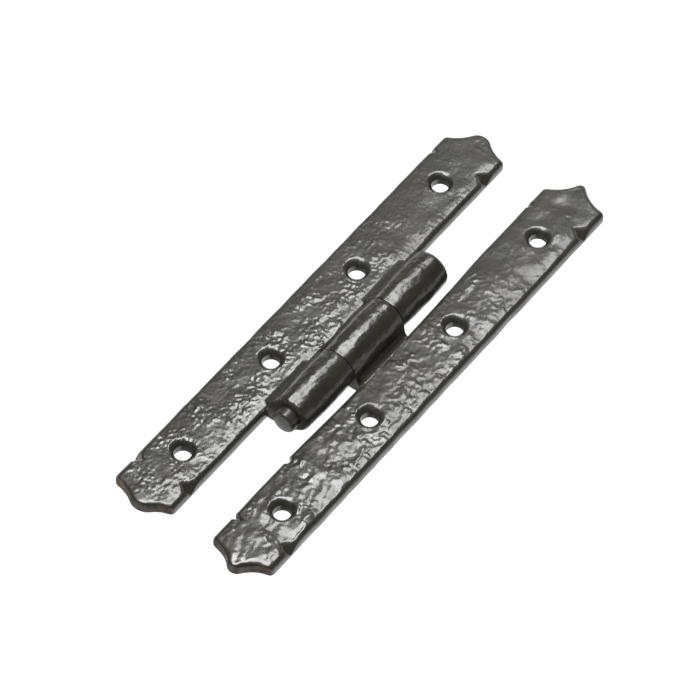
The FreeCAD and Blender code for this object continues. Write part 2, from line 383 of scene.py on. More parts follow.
@dataclass
class LeafPlate:
    """The flat bar of one leaf, worked out on the +X side and turned over for a left leaf."""

    side: Side
    gap: float
    near: ScallopedEnd
    far: ScallopedEnd
    face: HammeredFace
    relief_depth: float
    bite_depth: float
    knuckle_spans: tuple[tuple[float, float], ...]
    inner_nicks: tuple[Nick, Nick]
    outer_nicks: tuple[Nick, Nick]
    barrel_radius: float = 7.0
    width: float = 21.8
    thickness: float = 4.0
    edge_round: float = 1.5
    back_round: float = 0.35
    crown: float = 0.34
    relief_length: float = 92.0
    bite_radius: float = 1.8
    bite_place: float = -49.0
    hole_pitch: float = 43.5
    hole_radius: float = 2.8
    sink_radius: float = 4.1
    sink_depth: float = 1.2
    nick_place: float = 75.0
    web_foot: float = 11.4
    web_landing: float = 0.8
    rusty_places: tuple[float, ...] = ()
    # Height and length of the slow waves that draw in the long edges and the ends.
    inner_wave: tuple[float, float] = (0.09, 9.0)
    outer_wave: tuple[float, float] = (0.15, 8.0)
    end_wave: tuple[float, float] = (0.12, 5.0)
    # A countersink rim's rounding, what wear adds to it, the way its worn side faces and the rim's reach.
    rim_round: float = 0.25
    rim_wear: float = 0.55
    worn_across: float = 0.6
    worn_along: float = 0.8
    rim_reach: float = 7.0
    # How steeply a notch's sides run in, a nick's lowest floor and its reach above the front.
    notch_slope: float = 1.8
    nick_floor: float = 0.4
    nick_reach: float = 1.5
    # How far a knuckle smooths the hammering, and how far beyond its ends.
    web_calm: float = 0.85
    web_margin: float = 3.0
    # Height of the back's sand-cast unevenness.
    sand_height: float = 0.05
    # The grid's step, its straight part and rows beyond, and the square window and rings round a hole.
    step: float = 0.36
    straight_half: float = 77.0
    end_rows: int = 25
    end_stretch: float = 1.45
    end_margin: float = 2.0
    hole_window: float = 5.8
    hole_rings: int = 14
    wall_shares: tuple[float, ...] = (0.25, 0.5, 0.75)

    @property
    def row(self) -> float:
        """The line of the screw holes."""
        return self.barrel_radius + self.gap + self.width / 2

    @property
    def holes(self) -> tuple[float, ...]:
        """The screw holes' places along the leaf."""
        return tuple(self.hole_pitch * place for place in (-1.5, -0.5, 0.5, 1.5))

    def notches(self, y: np.ndarray, nicks: tuple[Nick, Nick]) -> np.ndarray:
        """How far the nicks that go right through draw an edge in: an even narrow V at each.

        Args:
            y: Places along the leaf.
            nicks: The edge's near and far nick.

        Returns:
            The distances.
        """
        drawn = np.zeros_like(y)
        for nick, end in zip(nicks, End):
            away = np.abs(y - end.value * self.nick_place)
            drawn = np.maximum(drawn, nick.notch - self.notch_slope * away)
        return drawn

    def edges(self, y: np.ndarray) -> tuple[np.ndarray, np.ndarray]:
        """The two long edges: straight, drawn in a little by slow waves, with the relief's arc and the bite.

        Args:
            y: Places along the leaf.

        Returns:
            The inner and the outer edge's distance from the pin.
        """
        noise = self.face.noise
        zero = np.zeros_like(y)
        inner_draw = noise.draw_in(zero + 3.0, y, *self.inner_wave) + self.notches(y, self.inner_nicks)
        outer_draw = noise.draw_in(zero + 8.0, y, *self.outer_wave) + self.notches(y, self.outer_nicks)
        bow = self.relief_depth * np.maximum(1.0 - (2.0 * y / self.relief_length) ** 2, 0.0)
        bite_arc = np.sqrt(np.maximum(self.bite_radius ** 2 - (y - self.bite_place) ** 2, 0.0))
        bite = np.maximum(bite_arc - self.bite_radius + self.bite_depth, 0.0) if self.bite_depth else zero
        inner = self.barrel_radius + self.gap + np.maximum(bow, bite) + inner_draw
        return inner, self.barrel_radius + self.gap + self.width - outer_draw

    def sheet(self) -> tuple[np.ndarray, np.ndarray]:
        """The grid of the leaf in plan: columns are shares of the width, and rows run from near to far.

        Rows are even along the straight part. Beyond it each column goes on to the end's own reach.

        Returns:
            The grid's X and Y, one row of the grid in each row.
        """
        rounding = quarter_steps(self.edge_round)
        count = int((self.width - 2 * self.edge_round) / self.step)
        middle = np.linspace(self.edge_round, self.width - self.edge_round, count)[1:-1]
        columns = np.concatenate([rounding, middle, self.width - rounding[::-1]])
        rows = int(2 * self.straight_half / self.step)
        straight = np.linspace(-self.straight_half, self.straight_half, rows)
        last_rows = self.end_stretch * rounding[::-1]
        share = np.linspace(0.0, 1.0, self.end_rows + 1)[1:, None]
        ends = []
        for end, shape in ((End.FAR, self.far), (End.NEAR, self.near)):
            tip_line = np.full_like(columns, end.value * 90.0)
            reach = shape.reach(columns - self.width / 2, self.width)
            reach = reach - self.face.noise.draw_in(columns, tip_line, *self.end_wave)
            start = reach - last_rows[0]
            inside = self.straight_half + (start - self.straight_half)[None, :] * share
            ends.append(end.value * np.concatenate([inside, reach[None, :] - last_rows[1:, None]]))
        core = np.repeat(straight[:, None], len(columns), axis=1)
        y = np.concatenate([ends[1][::-1], core, ends[0]])
        inner, outer = self.edges(y)
        return inner + (outer - inner) * columns[None, :] / self.width, y

    def outline_distance(self, x: np.ndarray, y: np.ndarray, outline: np.ndarray) -> np.ndarray:
        """Each point's distance from the leaf's outline: the nearest long edge or stretch of an end.

        Args:
            x: Points across.
            y: Points along.
            outline: The near and far ends as two lines of X and Y points.

        Returns:
            The distances.
        """
        inner, outer = self.edges(y)
        distance = np.minimum(x - inner, outer - x)
        for line, end in zip(outline, End):
            close = np.nonzero(y * end.value > self.straight_half - self.end_margin)[0]
            point = np.stack([x[close], y[close]], axis=1)[:, None, :]
            start, run = line[None, :-1], (line[1:] - line[:-1])[None]
            share = ((point - start) * run).sum(2) / np.maximum((run * run).sum(2), TINY)
            foot = start + np.clip(share, 0.0, 1.0)[..., None] * run
            distance[close] = np.minimum(distance[close], np.linalg.norm(point - foot, axis=2).min(1))
        return np.maximum(distance, 0.0)

    def front(self, x: np.ndarray, y: np.ndarray, distance: np.ndarray) -> np.ndarray:
        """The front's height: a crowned plane with a quarter-round edge, lumpy, nicked and countersunk.

        The crown falls off by the square and the fourth power of the distance from the middle line. The
        countersinks are worn rounder on their far sides.

        Args:
            x: Points across.
            y: Points along.
            distance: The points' distances from the outline.

        Returns:
            The heights.
        """
        share = 2.0 * (x - self.row) / self.width
        fall = rounded_off(distance, self.edge_round) + self.crown * (0.5 * share ** 2 + share ** 4)
        height = self.thickness - fall + self.calm(x, y, distance) * self.face.height(x, y)
        for along in self.holes:
            right, ahead = x - self.row, y - along
            radius = np.hypot(right, ahead)
            farther = self.worn_along * ahead - self.worn_across * self.side.value * right
            farther = farther / np.maximum(radius, 0.1)
            depth = self.sink_depth * (self.sink_radius - radius) / (self.sink_radius - self.hole_radius)
            seat = np.maximum(self.thickness - depth, self.thickness - self.sink_depth)
            rim = self.rim_round + self.rim_wear * ease(-0.2, 0.9, farther)
            height = np.where(radius < self.rim_reach, soft_min(height, seat, rim), height)
        inner, outer = self.edges(y)
        for from_edge, nicks in ((x - inner, self.inner_nicks), (outer - x, self.outer_nicks)):
            for nick, end in zip(nicks, End):
                wall = nick.wall(from_edge, y - end.value * self.nick_place, self.thickness)
                filed = soft_min(height, np.maximum(wall, self.nick_floor), nick.lip)
                height = np.where(wall < self.thickness + self.nick_reach, filed, height)
        return height

    def calm(self, x: np.ndarray, y: np.ndarray, distance: np.ndarray) -> np.ndarray:
        """How far the hammering shows: not on the rounded edge, and little where a knuckle's web lands.

        Args:
            x: Points across.
            y: Points along.
            distance: The points' distances from the outline.

        Returns:
            A share from 0 to 1.
        """
        shown = ease(0.1, 2.2, distance)
        landing = ease(self.web_foot + self.web_landing, self.web_foot - 0.2, x)
        for low, high in self.knuckle_spans:
            beside = ease(-self.web_margin, 0.0, -np.maximum(low - y, y - high))
            shown = shown * (1.0 - self.web_calm * beside * landing)
        return shown

    def back(self, x: np.ndarray, y: np.ndarray, distance: np.ndarray) -> np.ndarray:
        """The back's height: flat, with a small round at the edge and a faint sand-cast unevenness.

        Args:
            x: Points across.
            y: Points along.
            distance: The points' distances from the outline.

        Returns:
            The heights.
        """
        noise = self.face.noise
        sand = self.sand_height * (1.0 + 0.7 * noise.swell(x, y, 4.0) + 0.3 * noise.swell(x, y, 1.3))
        return rounded_off(distance, self.back_round) + sand

    def build(self, name: str) -> bpy.types.Object:
        """Makes the closed plate: front and back on one grid, walls round the outline and through the holes.

        Round each hole a square window of the grid is filled by rings that pass from the square to the hole.

        Args:
            name: The object's name.

        Returns:
            The plate.
        """
        grid_x, grid_y = self.sheet()
        rows, columns = grid_x.shape
        number = np.arange(rows * columns).reshape(rows, columns)
        keep = np.ones((rows - 1, columns - 1), bool)
        xs, ys = [grid_x.ravel()], [grid_y.ravel()]
        faces, hole_loops = [], []
        count = rows * columns
        middle_row = grid_y[:, columns // 2]
        beside = np.nonzero(np.abs(np.median(grid_x, axis=0) - self.row) < self.hole_window)[0]
        for along in self.holes:
            level = np.nonzero(np.abs(middle_row - along) < self.hole_window)[0]
            top, bottom, left, right = level[-1], level[0], beside[0], beside[-1]
            keep[bottom:top, left:right] = False
            loop = np.concatenate([number[bottom, left:right], number[bottom:top, right],
                                   number[top, right:left:-1], number[top:bottom:-1, left]])
            from_x, from_y = grid_x.ravel()[loop] - self.row, grid_y.ravel()[loop] - along
            far_off = np.hypot(from_x, from_y)
            for share in np.linspace(0.0, 1.0, self.hole_rings + 1)[1:] ** 0.8:
                scale = (1.0 - share) + share * self.hole_radius / far_off
                xs.append(self.row + from_x * scale)
                ys.append(along + from_y * scale)
                ring = np.arange(count, count + len(loop))
                faces.append(band(loop, ring))
                loop, count = ring, count + len(ring)
            hole_loops.append(loop)
        cells = np.stack([number[:-1, :-1], number[:-1, 1:], number[1:, 1:], number[1:, :-1]], axis=2)
        faces.append(cells[keep])
        x, y = np.concatenate(xs), np.concatenate(ys)
        ends = [np.stack([grid_x[line], grid_y[line]], axis=1) for line in (0, -1)]
        distance = self.outline_distance(x, y, np.stack(ends))
        front = np.stack([x, y, self.front(x, y, distance)], axis=1)
        back = np.stack([x, y, self.back(x, y, distance)], axis=1)
        outline = np.concatenate([number[0, :-1], number[:-1, -1], number[-1, :0:-1], number[:0:-1, 0]])
        points = [front, back]
        walls = []
        total = 2 * count
        for loop in [outline] + [ring[::-1] for ring in hole_loops]:
            lower = loop + count
            for share in self.wall_shares:
                points.append(back[loop] * (1.0 - share) + front[loop] * share)
                upper = np.arange(total, total + len(loop))
                walls.append(band(lower, upper))
                lower, total = upper, total + len(loop)
            walls.append(band(lower, loop))
        every = np.concatenate(points)
        blocks = faces + [block[:, ::-1] + count for block in faces] + walls
        used = np.unique(np.concatenate([block.ravel() for block in blocks]))
        renumber = np.zeros(len(every), np.int64)
        renumber[used] = np.arange(len(used))
        every = every[used] * np.array([self.side.value, 1.0, 1.0])
        blocks = [renumber[block][:, ::self.side.value] for block in blocks]
        return put_mesh(name, every, blocks)


@dataclass
class Knuckle:
    """One knuckle of the barrel with the web that runs into its leaf."""

    side: Side
    span: tuple[float, float]
    noise: CastNoise
    round_near: float
    round_far: float
    radius: float = 7.0
    web_level: float = 3.65
    web_fade: float = 2.2
    fillet: float = 5.5
    inner_edge: float = 8.3
    bulge: float = 1.4
    widest: float = 0.6
    flat_depth: float = 0.32
    flat_half_angle: float = 26.0
    flat_lean: float = 8.0
    flat_end: float = 0.75
    # Height and size of each layer of waves, and two distances that set its noise apart.
    waves: tuple[tuple[float, float, float, float], ...] = (
        (0.10, 6.0, 0.0, 0.0), (0.06, 2.6, 60.0, 0.0), (0.045, 1.3, 0.0, 30.0),
    )
    # The web's hidden part: its underside's height and reach, its end's reach, foot and depth under the web's
    # level, and how far the foot sinks into the leaf at the knuckle's ends.
    under_level: float = 0.03
    under_reach: float = 0.6
    buried_reach: float = 1.2
    buried_foot: float = 0.7
    buried_top: float = 0.9
    sunk: float = 0.8
    # Points round the circle and along the web's underside and fillet, and the step along the pin.
    circle_points: int = 121
    web_points: int = 16
    step: float = 0.45

    def section(self) -> tuple[np.ndarray, np.ndarray, np.ndarray, np.ndarray]:
        """The section across the pin: the knuckle's circle, flat under the web, and a hollow fillet.

        Returns:
            The section's X and Z, how far each point counts as part of the free circle, and how far it counts
            as part of the web's foot, both from 0 to 1.
        """
        rise = self.web_level + self.fillet - self.radius
        foot = math.sqrt((self.radius + self.fillet) ** 2 - rise ** 2)
        touch = math.atan2(rise, foot)
        bottom = 1.5 * np.pi
        turn = np.linspace(touch, bottom, self.circle_points)
        circle_x, circle_z = self.radius * np.cos(turn), self.radius + self.radius * np.sin(turn)
        under_x = np.linspace(0.0, self.inner_edge + self.under_reach, self.web_points)[1:]
        under_z = np.full_like(under_x, self.under_level)
        buried_x = np.full(2, foot + self.buried_reach)
        buried_z = np.array([self.buried_foot, self.web_level - self.buried_top])
        hollow = np.linspace(bottom, np.pi + touch, self.web_points)[:-1]
        hollow_x = foot + self.fillet * np.cos(hollow)
        hollow_z = self.web_level + self.fillet + self.fillet * np.sin(hollow)
        x = np.concatenate([circle_x, under_x, buried_x, hollow_x])
        z = np.concatenate([circle_z, under_z, buried_z, hollow_z])
        free, web = np.zeros_like(x), np.zeros_like(x)
        free[:len(turn)] = ease(touch, touch + 0.5, turn) * ease(bottom, 1.35 * np.pi, turn)
        web[-len(hollow):] = ease(np.pi + touch, bottom - 0.4, hollow)
        return x, z, free, web

    def build(self, name: str) -> bpy.types.Object:
        """Carries the section along the pin and closes its ends.

        The circle draws in towards both ends as a cast draft does, by slow waves, and round the outer ends. A
        hammered flat on its top is deepest at the near end and runs out three quarters of the way along.
        Towards the knuckle's ends the web's foot sinks into the leaf.

        Args:
            name: The object's name.

        Returns:
            The knuckle.
        """
        x, z, free, web = self.section()
        start, end = self.span
        length = end - start
        near = quarter_steps(self.round_near)[:-1]
        far = (length - quarter_steps(self.round_far))[::-1][1:]
        inner = np.linspace(self.round_near, length - self.round_far, int(length / self.step))
        along = np.concatenate([near, inner, far])
        drawn = rounded_off(along, self.round_near) + rounded_off(length - along, self.round_far)
        drawn = drawn + self.bulge * (along / length - self.widest) ** 2
        around = np.cumsum(np.hypot(np.diff(x, prepend=x[0]), np.diff(z, prepend=z[0])))
        grid_around, grid_along = np.meshgrid(around, along + start)
        wave = np.zeros_like(grid_around)
        for height, size, aside, ahead in self.waves:
            wave = wave + self.noise.draw_in(grid_around + aside, grid_along + ahead, height, size)
        lean = np.degrees(np.arctan2(z - self.radius, x)) - 90.0 + self.side.value * self.flat_lean
        flat = self.flat_depth * np.maximum(1.0 - (lean / self.flat_half_angle) ** 2, 0.0) ** 2
        fade = ease(self.flat_end, 0.0, along / length)
        draw = free[None, :] * (drawn[:, None] + wave + fade[:, None] * flat[None, :])
        direction = np.stack([x, z - self.radius], axis=1) / np.hypot(x, z - self.radius)[:, None]
        grid_x = x[None, :] - draw * direction[None, :, 0]
        grid_z = z[None, :] - draw * direction[None, :, 1]
        sink = ease(self.web_fade, 0.0, np.minimum(along, length - along))
        grid_z = grid_z - sink[:, None] * web[None, :] * (z - self.web_level + self.sunk)[None, :]
        points = np.stack([self.side.value * grid_x, grid_along, grid_z], axis=2).reshape(-1, 3)
        number = np.arange(len(points)).reshape(len(along), len(x))
        blocks = [band(number[row], number[row + 1]) for row in range(len(along) - 1)]
        caps = [number[:1, ::-1], number[-1:]]
        blocks = [block[:, ::-self.side.value] for block in blocks + caps]
        return put_mesh(name, points, blocks)


def round_bar(name: str, radius: np.ndarray, along: np.ndarray, height: float,
              sides: int = 96) -> bpy.types.Object:
    """A closed bar along Y: a profile of radii turned about the pin's axis, with a pole at each end.

    Args:
        name: The object's name.
        radius: The profile's radii, which start and end at 0.
        along: The profile's places along the bar.
        height: The axis' height.
        sides: How many steps the turn has.

    Returns:
        The bar.
    """
    turn = np.linspace(0.0, 2.0 * np.pi, sides, endpoint=False)
    ring = np.stack([np.cos(turn), np.zeros(sides), np.sin(turn)], axis=1)
    body = radius[1:-1, None, None] * ring[None] + np.array([0.0, 1.0, 0.0]) * along[1:-1, None, None]
    points = np.concatenate([body.reshape(-1, 3), [[0.0, along[0], 0.0]], [[0.0, along[-1], 0.0]]])
    points = points + np.array([0.0, 0.0, height])
    number = np.arange(sides * (len(along) - 2)).reshape(-1, sides)
    blocks = [band(number[row], number[row + 1])[:, ::-1] for row in range(len(number) - 1)]
    for loop, pole, way in ((number[0], len(points) - 2, 1), (number[-1], len(points) - 1, -1)):
        fan = np.stack([loop, np.roll(loop, -1), np.full(sides, pole)], axis=1)
        blocks.append(fan[:, ::way])
    return put_mesh(name, points, blocks)


class NodeSketch:
    """Short helpers for laying out nodes in one tree."""

    def __init__(self, tree: bpy.types.NodeTree) -> None:
        """Starts with an empty tree."""
        self.tree = tree
        tree.nodes.clear()

    def add(self, kind: str, **settings: object) -> bpy.types.Node:
        """Adds a node and sets its own settings.

        Args:
            kind: The kind of node.
            **settings: The node's settings by name.

        Returns:
            The node.
        """
        node = self.tree.nodes.new(kind)
        for key, value in settings.items():
            setattr(node, key, value)
        return node

    def feed(self, socket: bpy.types.NodeSocket, value: object) -> None:
        """Links a socket to another one, or sets it to a plain value.

        Args:
            socket: The socket to feed.
            value: The other socket or the plain value.
        """
        if isinstance(value, bpy.types.NodeSocket):
            self.tree.links.new(value, socket)
        else:
            socket.default_value = value

    def wire(self, node: bpy.types.Node, values: dict[str | int, object]) -> None:
        """Feeds several inputs of a node, each known by its name or its place."""
        for key, value in values.items():
            self.feed(node.inputs[key], value)

    def math(self, operation: str, first: object, second: object = 0.0,
             clamp: bool = False) -> bpy.types.NodeSocket:
        """A sum, product or the like of two values.

        Args:
            operation: The operation's name.
            first: The first value or socket.
            second: The second value or socket.
            clamp: Whether the result is held from 0 to 1.

        Returns:
            The result's socket.
        """
        node = self.add("ShaderNodeMath", operation=operation, use_clamp=clamp)
        self.wire(node, {0: first, 1: second})
        return node.outputs[0]

    def spread(self, value: object, low: float = 0.0, high: float = 1.0, to_low: float = 0.0,
               to_high: float = 1.0) -> bpy.types.NodeSocket:
        """Takes a value from one range to another with smooth ends.

        Args:
            value: The value or socket.
            low: Start of the first range.
            high: End of the first range.
            to_low: Start of the second range.
            to_high: End of the second range.

        Returns:
            The result's socket.
        """
        node = self.add("ShaderNodeMapRange", interpolation_type="SMOOTHSTEP")
        ranges = {"From Min": low, "From Max": high, "To Min": to_low, "To Max": to_high}
        self.wire(node, {"Value": value, **ranges})
        return node.outputs[0]

    def noise(self, place: object, scale: object, detail: float, roughness: float) -> bpy.types.NodeSocket:
        """Cloudy noise.

        Args:
            place: The coordinates.
            scale: Clouds per metre.
            detail: How many finer layers it has.
            roughness: How strong the finer layers are.

        Returns:
            The noise's value.
        """
        node = self.add("ShaderNodeTexNoise")
        self.wire(node, {"Vector": place, "Scale": scale, "Detail": detail, "Roughness": roughness})
        return node.outputs["Fac"]

    def mix(self, share: object, first: object, second: object) -> bpy.types.NodeSocket:
        """A colour between two others.

        Args:
            share: The second colour's share.
            first: The first colour.
            second: The second colour.

        Returns:
            The colour's socket.
        """
        node = self.add("ShaderNodeMix", data_type="RGBA")
        self.wire(node, {0: share, 6: first, 7: second})
        return node.outputs[2]


def new_group(name: str, inputs: dict[str, str],
              outputs: dict[str, str]) -> tuple[NodeSketch, bpy.types.Node, bpy.types.Node]:
    """Starts a shader node group with named sockets.

    Args:
        name: The group's name.
        inputs: The socket's kind for each input's name.
        outputs: The socket's kind for each output's name.

    Returns:
        The group's sketch, its input node and its output node.
    """
    tree = bpy.data.node_groups.new(name, "ShaderNodeTree")
    for where, sockets in (("INPUT", inputs), ("OUTPUT", outputs)):
        for label, kind in sockets.items():
            tree.interface.new_socket(label, in_out=where, socket_type=kind)
    sketch = NodeSketch(tree)
    return sketch, sketch.add("NodeGroupInput"), sketch.add("NodeGroupOutput")


class FinishEffects:
    """The effects that the finishes share, each built once as a node group."""

    def __init__(self) -> None:
        """Builds the groups."""
        self.grain = self.cast_grain()
        self.wear_and_painted_light = self.rubbed_edge_and_painted_light()

    def cast_grain(self) -> bpy.types.NodeTree:
        """Fine pebbles in the skin and slow patches in its gloss.

        Returns:
            The group, with a Height for bumps and a Patch from 0 to 1.
        """
        sketch, given, result = new_group(
            "cast_grain",
            {"Place": "NodeSocketVector", "Pebbles per metre": "NodeSocketFloat"},
            {"Height": "NodeSocketFloat", "Patch": "NodeSocketFloat"},
        )
        place, scale = given.outputs[0], given.outputs[1]
        fine = sketch.noise(place, scale, detail=1.2, roughness=0.5)
        pits = sketch.add("ShaderNodeTexVoronoi", feature="SMOOTH_F1")
        wider = sketch.math("MULTIPLY", scale, 0.7)
        sketch.wire(pits, {"Vector": place, "Scale": wider, "Smoothness": 0.6})
        height = sketch.math("ADD", fine, sketch.math("MULTIPLY", pits.outputs["Distance"], 0.6))
        clouds = sketch.noise(place, 70.0, detail=4.0, roughness=0.6)
        sketch.wire(result, {"Height": height, "Patch": sketch.spread(clouds, low=0.35, high=0.65)})
        return sketch.tree

    def rubbed_edge_and_painted_light(self) -> bpy.types.NodeTree:
        """Where handling rubs the lacquer thin, and where a lighter bare tone is painted as light, broken up
        by noise.

        Returns:
            The group, with a Color and a Mask from 0 to 1.
        """
        sketch, given, result = new_group(
            "rubbed_edge_and_painted_light",
            {"Rub and painted light": "NodeSocketFloat", "Place": "NodeSocketVector", "Lacquer": "NodeSocketColor",
             "Bare": "NodeSocketColor"},
            {"Color": "NodeSocketColor", "Mask": "NodeSocketFloat"},
        )
        rub_and_painted_light, place, lacquer, bare = given.outputs[:4]
        broken = sketch.noise(place, 420.0, detail=4.0, roughness=0.65)
        uneven = sketch.math("ADD", rub_and_painted_light, sketch.math("SUBTRACT", broken, 0.5))
        mask = sketch.spread(uneven, low=0.62, high=1.05)
        sketch.wire(result, {"Color": sketch.mix(mask, lacquer, bare), "Mask": mask})
        return sketch.tree


@dataclass(frozen=True)
class IronFinish:
    """A dark finish on iron or steel.

    Attributes:
        name: The material's name.
        lacquer: Colour of the finish.
        warm: Colour of its thin or dusty patches.
        bare: Colour where it is rubbed through, also painted as light on faces that look towards the near
            end.
        gloss_roughness: Roughness where it is glossy.
        satin_roughness: Roughness where it is satin.
        coat: Strength of the clear gloss over it.
        coat_roughness: Roughness of the clear gloss.
        pebbles: Pebbles in each metre of its skin.
        bump: Depth of the pebbles in metres.
        matt_roughness: Roughness of raw end faces and hole walls.
        metallic: Share of bare metal.
        least_coat: Share of the clear gloss that is left where the finish isn't satin at all.
        full_coat: How satin it has to be for all of the clear gloss.
        patch_dulling: Share of the clear gloss that the patches take away.
        patch_roughness: What the patches multiply the roughness by, from the least to the most.
    """

    name: str
    lacquer: tuple[float, float, float, float]
    warm: tuple[float, float, float, float]
    bare: tuple[float, float, float, float]
    gloss_roughness: float
    satin_roughness: float
    coat: float
    coat_roughness: float
    pebbles: float
    bump: float
    matt_roughness: float = 0.8
    metallic: float = 0.0
    least_coat: float = 0.6
    full_coat: float = 0.5
    patch_dulling: float = 0.4
    patch_roughness: tuple[float, float] = (0.94, 1.06)

    def material(self, effects: FinishEffects) -> bpy.types.Material:
        """Lays out the finish as a material.

        Args:
            effects: The shared node groups.

        Returns:
            The material.
        """
        made = bpy.data.materials.new(self.name)
        made.use_nodes = True
        sketch = NodeSketch(made.node_tree)
        place = sketch.add("ShaderNodeTexCoord").outputs["Object"]
        marks = [sketch.add("ShaderNodeAttribute", attribute_name=label).outputs["Fac"] for label in MARKS]
        rub_and_painted_light, skin, satin, matt = marks
        dullness = sketch.spread(satin, to_low=self.gloss_roughness, to_high=self.satin_roughness)
        dullness = sketch.math("MAXIMUM", dullness, sketch.math("MULTIPLY", matt, self.matt_roughness))
        grain = sketch.add("ShaderNodeGroup", node_tree=effects.grain)
        sketch.wire(grain, {"Place": place, "Pebbles per metre": self.pebbles})
        patch = grain.outputs["Patch"]
        # The rub mark mixes in the bare colour: wear, and painted light on faces looking towards the near
        # end.
        wear_and_painted_light = sketch.add("ShaderNodeGroup", node_tree=effects.wear_and_painted_light)
        lacquer = sketch.mix(patch, self.lacquer, self.warm)
        sketch.wire(wear_and_painted_light, {"Rub and painted light": rub_and_painted_light, "Place": place, "Lacquer": lacquer, "Bare": self.bare})
        bump = sketch.add("ShaderNodeBump")
        height = sketch.math("MULTIPLY", grain.outputs["Height"], skin)
        sketch.wire(bump, {"Strength": 1.0, "Distance": self.bump, "Height": height})
        smoothest, roughest = self.patch_roughness
        patchy = sketch.spread(patch, to_low=smoothest, to_high=roughest)
        dulled = sketch.math("MAXIMUM", wear_and_painted_light.outputs["Mask"], matt)
        dulled = sketch.math("MAXIMUM", dulled, sketch.math("MULTIPLY", patch, self.patch_dulling))
        bright = sketch.math("SUBTRACT", 1.0, dulled, clamp=True)
        least = self.least_coat * self.coat
        clear = sketch.spread(satin, high=self.full_coat, to_low=least, to_high=self.coat)
        shader = sketch.add("ShaderNodeBsdfPrincipled")
        sketch.wire(shader, {
            "Base Color": wear_and_painted_light.outputs["Color"],
            "Metallic": self.metallic,
            "Roughness": sketch.math("MULTIPLY", dullness, patchy),
            "Coat Weight": sketch.math("MULTIPLY", bright, clear),
            "Coat Roughness": self.coat_roughness,
            "Normal": bump.outputs["Normal"],
        })
        end = sketch.add("ShaderNodeOutputMaterial")
        sketch.wire(end, {"Surface": shader.outputs["BSDF"]})
        return made


def read_points(mesh: bpy.types.Mesh) -> np.ndarray:
    """Reads a mesh's points in millimetres.

    Args:
        mesh: The mesh.

    Returns:
        One row of X, Y and Z for each point.
    """
    flat = np.empty(len(mesh.vertices) * 3, np.float32)
    mesh.vertices.foreach_get("co", flat)
    return flat.reshape(-1, 3).astype(float) / MM


def give_finish(piece: bpy.types.Object, material: bpy.types.Material, marks: tuple[np.ndarray, ...],
                sharp: float) -> None:
    """Stores a piece's marks and gives it its finish, smooth except across sharp edges.

    Args:
        piece: The piece.
        material: Its finish.
        marks: For each mark in turn, a number from 0 to 1 at each point.
        sharp: The angle in degrees past which an edge is sharp.
    """
    mesh = piece.data
    for label, values in zip(MARKS, marks):
        mesh.attributes.new(label, "FLOAT", "POINT").data.foreach_set("value", values.astype(np.float32))
    mesh.materials.clear()
    mesh.materials.append(material)
    mesh.shade_smooth()
    mesh.set_sharp_from_angle(angle=math.radians(sharp))


